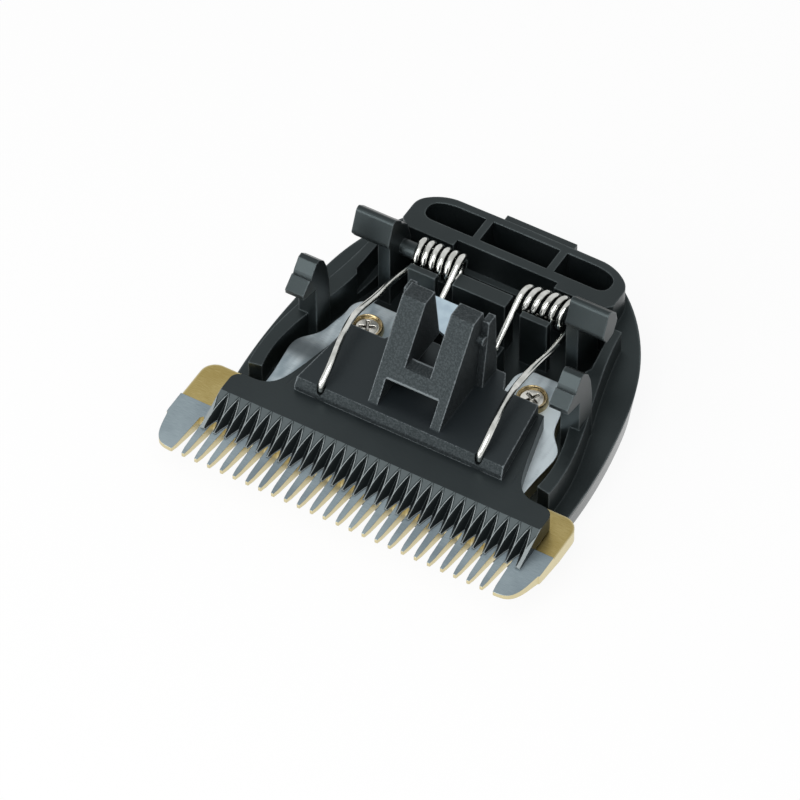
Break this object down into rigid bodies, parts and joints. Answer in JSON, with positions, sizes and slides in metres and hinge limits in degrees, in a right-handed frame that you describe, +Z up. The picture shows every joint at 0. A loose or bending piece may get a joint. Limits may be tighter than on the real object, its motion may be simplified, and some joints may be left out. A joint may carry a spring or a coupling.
{
  "type": "hair clipper blade head",
  "caption": "Replaceable hair clipper blade head with a gold-coated comb blade, a black sliding cutter, a drive yoke and torsion springs.",
  "frame": {"origin": "centre of the bounding box, on its lower face, which is the cover's outer face", "axes": "+X along the row of teeth, +Y from the tooth tips to the rear box, +Z up from the cover to the drive fork"},
  "size_m": [0.0462, 0.0458, 0.0208],
  "materials": {
    "black_plastic": "satin",
    "gold_coat": "gold nitride coat, ground bare on the lands",
    "black_coat": "black coated steel",
    "textured_plastic": "spark textured",
    "spring_wire": "bright drawn wire",
    "nickel": "nickel plated",
    "brass": "bright",
    "bright_steel": "satin"
  },
  "bodies": {
    "housing": {"cover": "black_plastic", "base": "black_plastic", "fixed_blade": "gold_coat", "left_spring": "spring_wire", "right_spring": "spring_wire", "left_screw": "nickel", "right_screw": "nickel", "left_washer": "brass", "right_washer": "brass", "spring_keeper": "bright_steel"},
    "cutter": {"moving_blade": "black_coat", "yoke": "textured_plastic"}
  },
  "joints": [
    {"name": "cutter_slide", "type": "slide", "parent": "housing", "child": "cutter", "axis": [1, 0, 0], "range_m": [-0.0023, 0.0001], "deforming": ["left_spring", "right_spring"]}
  ]
}
